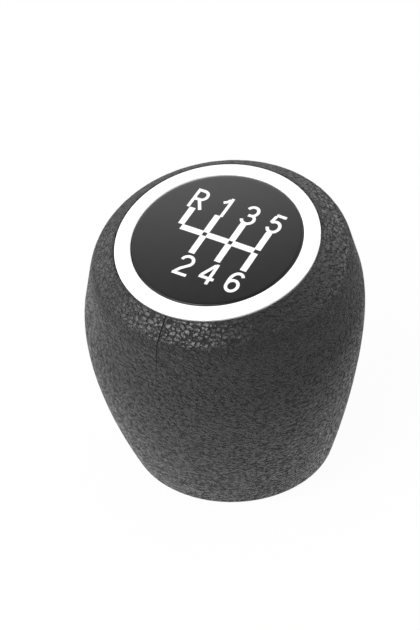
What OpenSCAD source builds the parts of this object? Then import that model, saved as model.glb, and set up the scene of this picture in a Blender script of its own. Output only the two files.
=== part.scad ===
// Gear shift knob: a soft grained grip moulded round a rigid core, with a bright
// trim ring and a domed pattern cap snapped into a top that leans to the driver.
// +Z runs up the lever, +Y is the front of the car, +X its right-hand side.
// The origin is where the lever's axis meets the flat base.

/* [Top disc] */
// Height of the ring's outer edge above the base, on the middle of the disc
top_z = 50.5; // [46:0.5:56]
// How far the disc's middle stands behind the lever's axis
top_back = 4.5; // [0:0.5:6]
// Lean of the disc towards the driver, in degrees
top_lean = 13; // [6:0.5:16]
// Diameter of the pattern cap
cap_d = 31.6; // [29:0.1:33]
// Width of the trim ring that shows round the cap
ring_w = 3.2; // [2:0.1:3.6]
// Gap all round between cap and ring
cap_gap = 0.15; // [0.05:0.05:0.3]
// Gap all round between ring and grip
ring_gap = 0.15; // [0.05:0.05:0.3]
// Width of the grip's flat land round the ring
land_w = 0.2; // [0.1:0.05:0.5]
// Rise of the trim ring from its outer edge to its lip at the cap
ring_rise = 0.5; // [0.2:0.05:0.8]
// Width of the rounded lip of the trim ring
lip_w = 0.4; // [0.2:0.05:0.6]
// Depth of the trim ring's seat below the grip's edge
ring_t = 1.2; // [0.8:0.1:1.8]
// Step of the cap's rim below the ring's lip
cap_step = 0.1; // [0:0.05:0.3]
// Rise of the cap's dome from its rim to its middle
cap_dome = 0.3; // [0.2:0.1:1.2]
// Thickness of the cap at its rim
cap_t = 1.7; // [1.3:0.1:2.2]

/* [Grip form] */
// Height of the shoulder's control ring
shoulder_z = 47; // [45.5:0.1:48.5]
// Radius of the shoulder's control ring
shoulder_r = 24.05; // [23:0.05:26]
// Distance of the shoulder behind the lever's axis
shoulder_back = 3.5; // [0:0.1:5]
// Lean of the shoulder, in degrees
shoulder_lean = 12; // [6:0.5:16]
// How much of the way out to the shoulder stays straight
shoulder_reach = 0.5; // [0.3:0.05:0.7]
// How much of the way from the shoulder to the belly stays straight
flank_reach = 0.35; // [0.25:0.05:0.6]
// Height of the belly's control ring
belly_z = 33.5; // [29:0.1:35]
// Half-width of the belly, across the car
belly_across = 27.35; // [26:0.05:29]
// Half-width of the belly, along the car
belly_along = 26.9; // [26:0.1:29]
// Distance of the belly behind the lever's axis
belly_back = 2.8; // [0:0.1:4]
// Lean of the belly, in degrees
belly_lean = 18; // [6:0.5:20]
// Height of the waist's control ring
waist_z = 12.7; // [10:0.1:15]
// Radius of the waist's control ring
waist_r = 23.6; // [22:0.1:25]
// Distance of the waist behind the lever's axis
waist_back = 1.55; // [0:0.05:3]
// Lean of the waist, in degrees
waist_lean = 5; // [0:0.5:8]
// Distance of the base's middle behind the lever's axis
base_back = 0.6; // [0:0.1:2]
// Radius of the grip where its wall meets the rounded bottom edge
base_r = 19.9; // [19:0.1:22]
// Radius of the rounded bottom edge
base_edge = 1; // [0.5:0.1:2]

/* [Core] */
// Radius of the core's foot
foot_r = 16; // [14.5:0.1:16.5]
// Thickness of the core's foot
foot_t = 3.2; // [2.6:0.1:5]
// Step of the core's foot above the grip's flat base
foot_step = 0.3; // [0:0.1:0.8]
// Wall of the hub round the lever bush
hub_wall = 2.4; // [1.8:0.1:3]
// Number of anchor collars that lock the grip to the hub
collars = 3; // [1:1:4]
// How far an anchor collar stands out from the hub
collar_w = 2.6; // [1:0.1:4]
// Thickness of an anchor collar
collar_t = 2; // [1:0.1:3]
// Wall of the top cup outside the trim ring's skirt
cup_wall = 1.3; // [1:0.1:1.8]
// Depth of the top cup's straight side
cup_h = 7.5; // [7:0.1:9]
// Depth of the cone that carries the cup on the hub
cone_h = 7; // [5:0.5:9]
// Depth of the hollow under the cap
hollow_h = 3.4; // [2:0.1:3.6]
// Number of ribs in the hollow under the cap
deck_ribs = 8; // [4:4:12]
// Thickness of a rib
rib_t = 1.4; // [1:0.1:2]
// Depth of the cored pockets in the foot
pocket_h = 1.8; // [1:0.1:2.2]
// Number of cored pockets in the foot
pockets = 12; // [6:1:16]

/* [Lever bush] */
// Bore for the gear lever
lever_d = 12; // [10:0.5:13]
// Wall of the bush
bush_wall = 1.3; // [1:0.1:1.8]
// Length of the bush
bush_h = 30; // [26:0.5:31]
// How far the fins stand out from the bush's wall
fin_w = 1.2; // [1.2:0.1:1.6]
// Thickness of a fin
fin_t = 1.2; // [0.8:0.1:1.6]
// Number of fins
fins = 8; // [4:4:12]
// Width of the slots that let the bush grip the lever
slot_w = 1.2; // [0.6:0.1:1.6]
// Height at which the slots start
slot_z = 12; // [8:0.5:16]
// Width of the flange outside the hub's bore
flange_w = 2; // [1:0.1:2.4]
// Thickness of the flange
flange_t = 1.5; // [1:0.1:2]
// Gap all round between bush and hub
bush_gap = 0.05; // [0.02:0.01:0.15]
// Free height over the bush, up to the bore's blind end
bush_head = 1; // [0.5:0.1:2]
// Width of the key that stops the bush turning
key_w = 3; // [2:0.1:4]
// How far the key stands out past the fins
key_h = 1; // [0.6:0.1:1.2]

/* [Spring clip] */
// Wire diameter of the clip
clip_wire = 1.1; // [0.8:0.1:1.1]
// Height of the clip round the bush
clip_z = 24; // [20:0.5:24]
// Opening of the clip, in degrees
clip_open = 50; // [30:5:90]
// Gap between the clip and what is round it
clip_gap = 0.05; // [0.02:0.01:0.1]

/* [Snap hooks] */
// Width of a hook
hook_w = 4; // [3:0.5:5]
// How far a hook's barb catches
barb = 0.5; // [0.3:0.05:0.6]
// Height of a hook's barb
barb_h = 1; // [0.8:0.1:1.4]
// Depth of the ring's skirt below its seat
skirt_h = 3; // [2.5:0.1:3.5]
// Thickness of the ring's skirt
skirt_t = 1; // [0.8:0.1:1.2]
// Free space round a hook
hook_gap = 0.2; // [0.1:0.05:0.3]

/* [Shift gate] */
// Width of a gate line
line_w = 1.25; // [0.8:0.05:1.6]
// Depth of a gate line in the cap
line_h = 0.15; // [0.05:0.05:0.3]
// Distance between neighbouring gates
gate_pitch = 5.4; // [4.5:0.05:6]
// Distance of the gate's middle to the right of the cap's middle
gate_x = 0.25; // [-1:0.05:1]
// Distance of the cross line in front of the cap's middle
gate_y = -0.1; // [-1:0.1:2]
// Turn of the gate about the cap's middle, in degrees
gate_turn = -1.5; // [-5:0.5:5]
// Length of a gate line, measured from the middle of the cross line
gate_reach = 4.95; // [3.5:0.05:6]
// How far the lines run into a crossing, which leaves a bare square in its middle
gate_lap = 0.2; // [0.05:0.05:0.4]
// Step by which the cross line stops short under the reverse gate
gate_step = 0.35; // [0:0.05:0.6]

/* [Hidden] */
// Facets round the lofted grip, rows in each of its spans, and rows round its bottom edge
around = 84;
rows = 7;
edge_rows = 4;
// Facets of the turned pieces
$fn = 96;
// Overshoot of a cut past the face that it opens
cut = 1;

cap_r = cap_d / 2;
ring_in = cap_r + cap_gap;
ring_out = ring_in + ring_w - cap_gap;
seat_r = ring_out + ring_gap;
land_r = seat_r + land_w;

// The cup stands under the ring, and its groove takes the ring's skirt
skirt_out = ring_in + skirt_t;
groove_in = ring_in - hook_gap;
groove_out = skirt_out + hook_gap;
cup_r = groove_out + cup_wall;
rim_z = ring_rise - cap_step;
deck_z = rim_z - cap_t;
hollow_r = groove_in - 2.4;
boss_r = 3;

lever_r = lever_d / 2;
bush_r = lever_r + bush_wall;
fin_r = bush_r + fin_w;
bore_r = fin_r + bush_gap;
bore_h = bush_h + bush_head;
hub_r = bore_r + hub_wall;
flange_r = bore_r + flange_w;
collar_r = hub_r + collar_w;
clip_r = bush_r + clip_gap + clip_wire / 2;

// Height at which the leaning cone starts on its low side, and of the hub's top inside it
cone_low = top_z - (ring_t + cup_h + cone_h) * cos(top_lean) - hub_r * sin(top_lean);
hub_h = top_z - (ring_t + cup_h + cone_h / 2) * cos(top_lean);

// Lean of the grip's wall where it comes down to the bottom edge
wall_lean = atan((waist_r - base_r) / waist_z);
base_in = base_r - base_edge * cos(wall_lean);

// A control ring of the grip: [height, distance behind the axis, half-width across, along, lean]
edge_ring = [top_z, top_back, land_r, land_r, top_lean];
shoulder_ring = [shoulder_z, shoulder_back, shoulder_r, shoulder_r, shoulder_lean];
belly_ring = [belly_z, belly_back, belly_across, belly_along, belly_lean];
waist_ring = [waist_z, waist_back, waist_r, waist_r, waist_lean];
base_ring = [base_edge * (1 - sin(wall_lean)), base_back, base_r, base_r, 0];

// A point of a control ring at angle a
function on_ring(ring, a) = [
    ring[2] * cos(a),
    ring[3] * sin(a) * cos(ring[4]) - ring[1],
    ring[0] + ring[3] * sin(a) * sin(ring[4])
];

function between(p, q, share) = p + (q - p) * share;

// The seven control points of the grip's meridian at angle a, from the ring's edge to the base
function meridian(a) =
    let (edge = on_ring(edge_ring, a), shoulder = on_ring(shoulder_ring, a))
    let (belly = on_ring(belly_ring, a), waist = on_ring(waist_ring, a))
    [
        edge,
        between(edge, shoulder, shoulder_reach),
        shoulder,
        between(shoulder, belly, flank_reach),
        belly,
        waist,
        on_ring(base_ring, a)
    ];

// Each inner control point rules one parabola between the middles of its two legs
function span_start(m, i) = i == 1 ? m[0] : between(m[i - 1], m[i], 0.5);
function span_end(m, i) = i == len(m) - 2 ? m[len(m) - 1] : between(m[i], m[i + 1], 0.5);
function parabola(p, q, r, t) = between(between(p, q, t), between(q, r, t), t);

// A meridian's points from top to bottom, with the round bottom edge as an arc
function outline(a) =
    let (m = meridian(a))
    concat(
        [m[0]],
        [for (i = [1 : len(m) - 2], j = [1 : rows]) parabola(span_start(m, i), m[i], span_end(m, i), j / rows)],
        [
            for (j = [1 : edge_rows])
                let (turn = wall_lean + (90 - wall_lean) * j / edge_rows)
                let (r = base_in + base_edge * cos(turn))
                [r * cos(a), r * sin(a) - base_back, base_edge * (1 - sin(turn))]
        ]
    );

// Solid of the grip's outside: meridians side by side, closed by the two flat ends
module grip_form() {
    lines = [for (k = [0 : around - 1]) outline(360 * k / around)];
    count = len(lines[0]);
    points = [for (line = lines, p = line) p];
    walls = [
        for (k = [0 : around - 1], j = [0 : count - 2])
            let (here = k * count + j, next = ((k + 1) % around) * count + j)
            each [[here, next, next + 1], [here, next + 1, here + 1]]
    ];
    top = [for (k = [around - 1 : -1 : 0]) k * count];
    bottom = [for (k = [0 : around - 1]) k * count + count - 1];
    polyhedron(points = points, faces = concat(walls, [top, bottom]));
}

// Places what follows on the leaning disc, with its own z = 0 at the ring's outer edge
module on_disc() {
    translate([0, -top_back, top_z]) rotate([top_lean, 0, 0]) children();
}

module around_axis(count, turn = 0) {
    for (i = [0 : count - 1]) rotate(turn + 360 * i / count) children();
}

module tube(r_in, r_out, z_low, z_high) {
    translate([0, 0, z_low]) difference() {
        cylinder(r = r_out, h = z_high - z_low);
        translate([0, 0, -cut]) cylinder(r = r_in, h = z_high - z_low + 2 * cut);
    }
}

module disc(r, z_low, z_high) {
    translate([0, 0, z_low]) cylinder(r = r, h = z_high - z_low);
}

// A bar that runs outwards along +X between two radii
module bar(r_in, r_out, width, z_low, z_high) {
    translate([r_in, -width / 2, z_low]) cube([r_out - r_in, width, z_high - z_low]);
}

// Outside of the core; the foot can be carried down to open the grip below it
module core_outside(foot_low) {
    foot_top = foot_step + foot_t;
    disc(foot_r, foot_low, foot_top);
    disc(hub_r, foot_step, hub_h);
    for (i = [1 : collars])
        let (z = foot_top + (cone_low - foot_top) * i / (collars + 1))
            disc(collar_r, z - collar_t / 2, z + collar_t / 2);
    on_disc() rotate_extrude() polygon([
        [0, -ring_t],
        [cup_r, -ring_t],
        [cup_r, -ring_t - cup_h],
        [hub_r, -ring_t - cup_h - cone_h],
        [0, -ring_t - cup_h - cone_h]
    ]);
}

module grip_moulding() {
    color([0.13, 0.13, 0.14]) difference() {
        grip_form();
        on_disc() disc(seat_r, -ring_t, cut);
        core_outside(-cut);
    }
}

// Hollow under the cap: an annular recess between boss and wall, crossed by ribs
module deck_hollow() {
    low = deck_z - hollow_h;
    difference() {
        tube(boss_r, hollow_r, low, deck_z + cut);
        around_axis(deck_ribs, 180 / deck_ribs) bar(0, hollow_r + cut, rib_t, low - cut, deck_z + 2 * cut);
    }
}

module grip_core() {
    low = -ring_t - skirt_h;
    color([0.2, 0.2, 0.21]) difference() {
        core_outside(foot_step);
        // Bore, flange seat and keyway of the lever bush
        disc(bore_r, foot_step - cut, bore_h);
        disc(flange_r + bush_gap, foot_step - cut, flange_t);
        bar(0, fin_r + key_h + bush_gap, key_w + 2 * bush_gap, foot_step - cut, bore_h);
        // Cored pockets of the foot
        around_axis(pockets)
            bar(flange_r + 1.4, foot_r - 1.2, rib_t * 1.6, foot_step - cut, foot_step + pocket_h);
        on_disc() {
            // Floor that the cap rests on, and the hollow below it
            disc(groove_in, deck_z, cut);
            deck_hollow();
            // Groove for the ring's skirt, with a pocket for each barb
            tube(groove_in, groove_out, low - hook_gap, cut);
            around_axis(4)
                bar(groove_in, groove_out + barb, hook_w + 2 * hook_gap, low - hook_gap, low + barb_h + hook_gap);
            // Slot and catch for each of the cap's hooks
            around_axis(4, 45) cap_slot();
        }
    }
}

// Space in the core for one of the cap's hooks
module cap_slot() {
    low = deck_z - hollow_h;
    bar(hollow_r - 3, hollow_r + hook_gap, hook_w + 2 * hook_gap, low, deck_z + cut);
    bar(hollow_r, hollow_r + barb + hook_gap, hook_w + 2 * hook_gap, low, low + barb_h + 2 * hook_gap);
}

module trim_ring() {
    lip_r = ring_in + lip_w;
    steps = 10;
    // From the outer edge a quarter of an ellipse rises to the lip, and a smaller one rounds it off
    slope = [
        for (i = [0 : steps])
            [lip_r + (ring_out - lip_r) * cos(90 * i / steps), ring_rise * sin(90 * i / steps)]
    ];
    lip = [
        for (i = [1 : steps])
            [lip_r - lip_w * sin(90 * i / steps), ring_rise / 2 * (1 + cos(90 * i / steps))]
    ];
    color([0.9, 0.9, 0.92]) on_disc() {
        rotate_extrude() polygon(concat([[ring_in, -ring_t], [ring_out, -ring_t]], slope, lip));
        tube(ring_in, skirt_out, -ring_t - skirt_h, -ring_t / 2);
        around_axis(4)
            intersection() {
                bar(ring_in, skirt_out + barb, hook_w, -ring_t - skirt_h, -ring_t - skirt_h + barb_h);
                rotate_extrude() translate([ring_in, -ring_t - skirt_h]) polygon([
                    [0.2, 0],
                    [skirt_t, 0],
                    [skirt_t + barb, barb_h * 0.7],
                    [skirt_t + barb, barb_h],
                    [0.2, barb_h]
                ]);
            }
    }
}

// One line of the shift gate in plan, between two corners, tall enough to pass the dome
module gate_line(x_from, x_to, y_from, y_to) {
    translate([x_from, y_from, -cap_t]) cube([x_to - x_from, y_to - y_from, 2 * cap_t + cap_dome]);
}

// Plan of the gate: reverse on the far left, then three gates, with a bare square at each crossing
module gate_plan() {
    half = line_w / 2;
    bare = half - gate_lap;
    first = gate_x - 1.5 * gate_pitch;
    for (i = [1 : 3]) {
        x = first + i * gate_pitch;
        gate_line(x - half, x + half, gate_y + bare, gate_y + gate_reach);
        gate_line(x - half, x + half, gate_y - gate_reach, gate_y - bare);
    }
    gate_line(first - half, first + half, gate_y + 0.9 * half, gate_y + gate_reach);
    gate_line(first + gate_step, first + gate_pitch - bare, gate_y - half, gate_y + half);
    for (i = [1 : 2])
        gate_line(first + i * gate_pitch + bare, first + (i + 1) * gate_pitch - bare, gate_y - half, gate_y + half);
}

// Turned body of the cap between its floor and a dome whose rim lies at the given height
module cap_body(rim) {
    steps = 14;
    curve_r = (cap_r * cap_r + cap_dome * cap_dome) / (2 * cap_dome);
    sweep = asin(cap_r / curve_r);
    dome = [
        for (i = [0 : steps])
            let (a = sweep * i / steps)
            [curve_r * sin(a), rim + cap_dome - curve_r * (1 - cos(a))]
    ];
    rotate_extrude() polygon(concat([[cap_r, deck_z], [0, deck_z]], dome));
}

module pattern_cap() {
    hook_top = deck_z / 2;
    hook_low = deck_z - hollow_h + hook_gap;
    color([0.05, 0.05, 0.06]) on_disc() {
        difference() {
            cap_body(rim_z);
            // What lies above the dome lowered by the line's depth is cut along the gate
            intersection() {
                rotate(gate_turn) gate_plan();
                difference() {
                    disc(cap_r - 1, rim_z - line_h, rim_z + cap_dome + cut);
                    cap_body(rim_z - line_h);
                }
            }
        }
        around_axis(4, 45) {
            bar(hollow_r - 1.3, hollow_r, hook_w, hook_low, hook_top);
            bar(hollow_r - 0.5, hollow_r + barb, hook_w, hook_low, hook_low + barb_h);
        }
    }
}

module lever_bush() {
    color([0.75, 0.75, 0.72]) difference() {
        union() {
            disc(bush_r, 0, bush_h);
            disc(flange_r, 0, flange_t);
            around_axis(fins) bar(lever_r + 0.3, fin_r, fin_t, 0, bush_h - 2);
            bar(lever_r + 0.3, fin_r + key_h, key_w, 0, slot_z);
        }
        disc(lever_r, -cut, bush_h + cut);
        // Slots between the fins, open at the top
        around_axis(4, 180 / fins) bar(0, fin_r + cut, slot_w, slot_z, bush_h + cut);
        // Notches of the fins for the clip
        tube(bush_r, fin_r + cut, clip_z - clip_wire / 2 - clip_gap, clip_z + clip_wire / 2 + clip_gap);
    }
}

module spring_clip() {
    color([0.6, 0.6, 0.62])
        translate([0, 0, clip_z])
            rotate(90 + clip_open / 2)
                rotate_extrude(angle = 360 - clip_open) translate([clip_r, 0]) circle(d = clip_wire, $fn = 32);
}

grip_moulding();
grip_core();
trim_ring();
pattern_cap();
lever_bush();
spring_clip();
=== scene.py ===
"""Looks of a gear shift knob: grained grip, bright trim ring, black pattern cap and its studio.

Lengths in the tables below are millimetres. +Z runs up the lever, +Y is the front of the car.
"""
import math

import bpy
import numpy as np
from mathutils import Matrix, Vector


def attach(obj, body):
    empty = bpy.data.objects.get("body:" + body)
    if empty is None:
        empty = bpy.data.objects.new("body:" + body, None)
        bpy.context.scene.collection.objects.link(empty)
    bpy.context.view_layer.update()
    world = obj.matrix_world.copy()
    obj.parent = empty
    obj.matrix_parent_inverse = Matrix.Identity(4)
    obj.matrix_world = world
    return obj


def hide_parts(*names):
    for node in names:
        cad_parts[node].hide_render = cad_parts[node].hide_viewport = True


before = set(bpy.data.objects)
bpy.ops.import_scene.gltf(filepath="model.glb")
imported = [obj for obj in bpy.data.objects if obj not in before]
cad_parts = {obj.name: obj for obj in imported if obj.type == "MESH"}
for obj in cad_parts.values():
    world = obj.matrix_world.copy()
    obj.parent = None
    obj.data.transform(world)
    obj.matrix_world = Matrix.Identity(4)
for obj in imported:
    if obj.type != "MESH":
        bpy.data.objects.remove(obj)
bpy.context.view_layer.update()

bl_info = {
    "name": "Gear Shift Knob",
    "version": (1, 0, 0),
    "blender": (4, 5, 0),
    "location": "3D View > Sidebar > Shift Knob",
    "description": "Builds the finish of a gear shift knob round its solid model",
    "category": "Add Mesh",
}

MM = 0.001

# Control rings of the grip: height, distance behind the axis, half-width across, along, lean in degrees
EDGE_RING = (50.5, 4.5, 19.35, 19.35, 13.0)
SHOULDER_RING = (47.0, 3.5, 24.05, 24.05, 12.0)
BELLY_RING = (33.5, 2.8, 27.35, 26.9, 18.0)
WAIST_RING = (12.7, 1.55, 23.6, 23.6, 5.0)
SHOULDER_REACH = 0.5
FLANK_REACH = 0.35
PARABOLAS = 5

# The flat base, and the rows that round its edge and cross it
BASE_R = 19.9
BASE_BACK = 0.6
BASE_EDGE = 1.0
BASE_EDGE_ROWS = 5
BASE_ROWS = 2

# Turned sizes on the leaning disc, whose z = 0 is the ring's outer edge
CAP_R = 15.8
CAP_RIM_Z = 0.4
CAP_DOME = 0.3
CAP_EDGE = 0.25
CAP_FLOOR_Z = -1.3
POLE_R = 0.001
RING_IN = 15.95
RING_OUT = 19.0
RING_CROWN = 0.5
RING_LIP = 0.4
RING_SEAT_Z = -1.2
SEAT_R = 19.15
SEAT_TOP_Z = -0.05
SKIRT_OUT = 16.95
SKIRT_LOW = -4.2
CUP_R = 18.45
CUP_LOW_Z = -8.7

# Points along the arcs of the turned sections
SLOPE_POINTS = 17
LIP_POINTS = 9
DOME_POINTS = 40
EDGE_POINTS = 7

# Snap hooks of the cap and barbs of the ring's skirt, with their turns in degrees. The nose slopes
# out over BARB_NOSE of its height, and a barb's root lies BARB_SINK inside the skirt's wall
HOOK_R = 13.35
HOOK_LOW_Z = -4.5
HOOK_W = 4.0
HOOK_LEG = 1.3
HOOK_TURNS = (45, 135, 225, 315)
BARB = 0.5
BARB_H = 1.0
BARB_NOSE = 0.7
BARB_LEG = 0.5
BARB_SINK = 0.02
BARB_TURNS = (0, 90, 180, 270)

# The core inside the grip, and the gap that the grip's inner wall keeps to its foot and cup
FOOT_R = 16.0
FOOT_TOP = 3.5
HUB_ROOM_R = 14.2
HUB_ROOM_TOP = 30
CORE_GAP = 0.02

# Shift gate and figures. The reverse bar starts at GATE_CORNER of half a bar's width above the cross
# bar's middle. Strokes that cross stand PAINT_STEP apart, so that their faces don't fall together
LINE_W = 1.25
LINE_H = 0.15
GATE_PITCH = 5.4
GATE_X = 0.25
GATE_Y = -0.1
GATE_REACH = 4.95
GATE_LAP = 0.2
GATE_TURN = -1.5
GATE_STEP = 0.35
GATE_CORNER = 0.9
PAINT_STEP = 0.003
RIBBON_STEP = 0.18
FIGURE_STROKE = 0.62
FIGURE_SINK = 0.02
FIGURE_HIGH_Y = 7.2
FIGURE_LOW_Y = -8.0
# Each figure's gate, how far it stands to the gate's right, and its row
FIGURES = {
    "R": (0, 0.2, FIGURE_HIGH_Y),
    "1": (1, 0.1, FIGURE_HIGH_Y),
    "3": (2, 0.15, FIGURE_HIGH_Y),
    "5": (3, 0.05, FIGURE_HIGH_Y),
    "2": (1, 0.35, FIGURE_LOW_Y),
    "4": (2, 0.07, FIGURE_LOW_Y),
    "6": (3, -0.18, FIGURE_LOW_Y),
}

# Parting line on the driver's side: half-width of its groove, the heights between which it fades in,
# and how many more columns gather there within how many degrees
PARTING_W = 0.12
PARTING_LOW_Z = 31.0
PARTING_HIGH_Z = 41.0
PARTING_COLUMNS = 7
PARTING_SPREAD = 1.1

# Moulded grain of the grip's mesh: size, reach and salts of the noises that bend its cells, how tall
# a cell is for its width, the differences of distance between which a valley rises to a pebble, the
# noise that makes a valley shallow in places and the share left there, the pebbles' level, size and
# salt of the noises of the slow swell, and the stretch below the ring over which the grain fades in
GRAIN_BENDS = ((1.7, 1.3, (11, 12, 13)), (0.6, 0.3, (14, 15, 16)))
GRAIN_STRETCH = 1.6
GRAIN_SALT = 31
VALLEY_SLOPE = (0.02, 0.42)
PORE_SIZE = 0.9
PORE_SALT = 41
PORE_STOPS = (0.35, 0.65)
PORE_LEAST = 0.25
PEBBLE_LEVEL = 0.35
SWELLS = ((2.6, 51), (1.1, 52))
SWELL_SHARE = 0.8
GRAIN_START = 0.9

# Creases of the grip's material: how tall their cells are for their width, the share of a cell that
# one side of a crease takes on the body and on the shoulder, the heights between which it narrows,
# and size and reach of the noises that bend the cells
CREASE_STRETCH = 0.6
CREASE_BODY = 0.27
CREASE_SHOULDER = 0.16
CREASE_LOW_Z = 38
CREASE_HIGH_Z = 44
CREASE_BENDS = ((1.6, 0.8), (0.45, 0.75))

# The noise that breaks the creases into strokes and the share of a crease left between them, and
# the pebbles' colour and the creases' painted shade as shares of the grip's colour
BREAK_SIZE = 0.8
BREAK_STRETCH = (1.2, 1.2, 0.7)
BREAK_STOPS = (0.4, 0.56)
BREAK_LEAST = 0.1
PEBBLE_SHADE = 1.5
CREASE_PAINTED_SHADE = 0.05

# The patches of dull pebbles, and the pits finer than the creases
DULL_SIZE = 0.45
DULL_STOPS = (0.45, 0.7)
DULL_MOST = 0.8
PIT_SIZE = 0.2
PIT_DEPTH = 0.03

# The haze noise's values between which the polish of ring and cap dulls, and the flow marks of the
# moulded pieces: their shades as shares of the colour, and what they add to the roughness
HAZE_STOPS = (0.3, 0.75)
FLOW_SHADES = (0.8, 1.15)
FLOW_ROUGHNESS = (-0.06, 0.08)

# The studio's soft lights: degrees clockwise from straight behind the knob, elevation, level, sharpness
SOFT_LIGHTS = (
    (45, 6, 2.0, 6),
    (90, 18, 1.4, 6),
    (270, 6, 1.1, 6),
    (315, 6, 1.7, 6),
    (150, 60, 0.3, 6),
    (205, 42, 4.4, 40),
    (228, 56, 2.2, 40),
    (258, 30, 4.5, 40),
    (350, 45, 2.2, 35),
)
KEY_AZIMUTH = 228
KEY_ELEVATION = 37
KEY_AIM_Z = 30

# The pool of light painted on the floor as a glow that shiny pieces mirror: where its middle lies,
# its levels in the middle and far off, and how far from the middle it starts and stops to dim
POOL_AZIMUTH = 250
POOL_ASIDE = 40
POOL_LEVEL = 1.05
POOL_FAR_LEVEL = 0.25
POOL_NEAR = 45
POOL_FAR = 140

# The floor's half side, and how far it lies below the base, so that the two faces don't fall together
FLOOR_HALF = 3000
FLOOR_DROP = 0.03

# The picture's long side in pixels, and the width of the camera's sensor
LONG_SIDE_PX = 630
SENSOR_WIDTH = 36

# Numbers of the hash that stands for chance in the noises: one factor for each coordinate and the
# salt, the shift and factor of each round, the last shift, and the count of its results
HASH_FACTORS = (73856093, 19349663, 83492791)
HASH_SALT_FACTOR = 2654435761
HASH_ROUNDS = ((16, 0x7FEB352D), (15, 0x846CA68B))
HASH_LAST_SHIFT = 16
HASH_COUNT = 2 ** 32


# Meshes from grids of points

def new_object(name, verts, faces, material, smooth=True):
    """Puts vertices in millimetres and faces of three or four corners into a new mesh object."""
    mesh = bpy.data.meshes.new(name)
    mesh.from_pydata((np.asarray(verts) * MM).tolist(), [], faces)
    mesh.validate()
    mesh.update()
    mesh.polygons.foreach_set("use_smooth", np.full(len(mesh.polygons), smooth))
    mesh.materials.append(material)
    obj = bpy.data.objects.new(name, mesh)
    bpy.context.scene.collection.objects.link(obj)
    return obj


def sharpen(obj, degrees=40):
    """Marks the edges that turn by more than the angle as sharp, so that smooth shading stops there."""
    obj.data.set_sharp_from_angle(angle=math.radians(degrees))


def grid_faces(rows, columns):
    """Quads of a grid whose columns close on themselves, and whose rows do too."""
    j = np.arange(rows)[:, None]
    i = np.arange(columns)[None, :]
    below = (j + 1) % rows
    right = (i + 1) % columns
    here = j * columns + i
    quads = np.stack([here, below * columns + i, below * columns + right, j * columns + right], -1)
    return quads.reshape(-1, 4).tolist()


def joined(parts):
    """Vertices and faces of several meshes as one."""
    verts, faces, base = [], [], 0
    for v, f in parts:
        verts.append(v)
        faces += [[i + base for i in face] for face in f]
        base += len(v)
    return np.concatenate(verts), faces


def on_disc(points):
    """Turns points of the leaning disc's own frame by its lean about X and lifts them to its middle."""
    height, back, _, _, lean = EDGE_RING
    lean = math.radians(lean)
    x, y, z = points[..., 0], points[..., 1], points[..., 2]
    return np.stack([
        x,
        y * math.cos(lean) - z * math.sin(lean) - back,
        y * math.sin(lean) + z * math.cos(lean) + height,
    ], -1)


def turned_body(profile, columns):
    """Turns a closed profile of radius and height about Z: each row is a radius times a unit circle."""
    angle = np.linspace(0, 2 * np.pi, columns, endpoint=False)
    x = profile[:, :1] * np.cos(angle)
    y = profile[:, :1] * np.sin(angle)
    z = np.repeat(profile[:, 1:], columns, axis=1)
    return np.stack([x, y, z], -1).reshape(-1, 3), grid_faces(len(profile), columns)


# Noise on points, worked out with whole arrays

def hashed(cell, salt):
    """A fixed number from 0 to 1 for each cell: its coordinates and a salt mixed by multiply and shift."""
    c = cell.astype(np.int64)
    mask = HASH_COUNT - 1
    h = salt * HASH_SALT_FACTOR
    for k, factor in enumerate(HASH_FACTORS):
        h = h ^ (c[..., k] * factor)
    h = (h & mask).astype(np.uint64)
    for shift, factor in HASH_ROUNDS:
        h = ((h ^ (h >> np.uint64(shift))) * np.uint64(factor)) & np.uint64(mask)
    return (h ^ (h >> np.uint64(HASH_LAST_SHIFT))) / float(HASH_COUNT)


def soft_noise(p, size, salt):
    """Smooth noise from 0 to 1: a cell's eight corners blended by a smooth step of the place in it."""
    q = p / size
    cell = np.floor(q)
    f = q - cell
    f = f * f * (3 - 2 * f)
    total = 0
    for dx in (0, 1):
        for dy in (0, 1):
            for dz in (0, 1):
                weight = (
                    (f[..., 0] if dx else 1 - f[..., 0])
                    * (f[..., 1] if dy else 1 - f[..., 1])
                    * (f[..., 2] if dz else 1 - f[..., 2])
                )
                total = total + weight * hashed(cell + (dx, dy, dz), salt)
    return total


def cell_noise(p, salt):
    """Distances from each point to the nearest and second nearest of one jittered seed per unit cell."""
    cell = np.floor(p)
    first = np.full(p.shape[:-1], np.inf)
    second = np.full(p.shape[:-1], np.inf)
    for dx in (-1, 0, 1):
        for dy in (-1, 0, 1):
            for dz in (-1, 0, 1):
                c = cell + (dx, dy, dz)
                seed = c + np.stack([hashed(c, salt + k) for k in range(3)], -1)
                d = np.linalg.norm(seed - p, axis=-1)
                second = np.minimum(second, np.maximum(first, d))
                first = np.minimum(first, d)
    return first, second


def smooth_step(low, high, x):
    """Rises from 0 at low to 1 at high: the share of the way squared, times three less twice the share."""
    t = np.clip((x - low) / (high - low), 0, 1)
    return t * t * (3 - 2 * t)


# The grip's form

def ring_points(ring, angle):
    """A control ring's points: an ellipse that leans about X, set behind the axis at its height."""
    height, back, across, along, lean = ring
    lean = math.radians(lean)
    return np.stack([
        across * np.cos(angle),
        along * np.sin(angle) * math.cos(lean) - back,
        height + along * np.sin(angle) * math.sin(lean),
    ], -1)


def wall_lean():
    """Lean of the wall above the base: the angle whose tangent is the waist's overhang over its height."""
    return math.atan((WAIST_RING[2] - BASE_R) / WAIST_RING[0])


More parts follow.
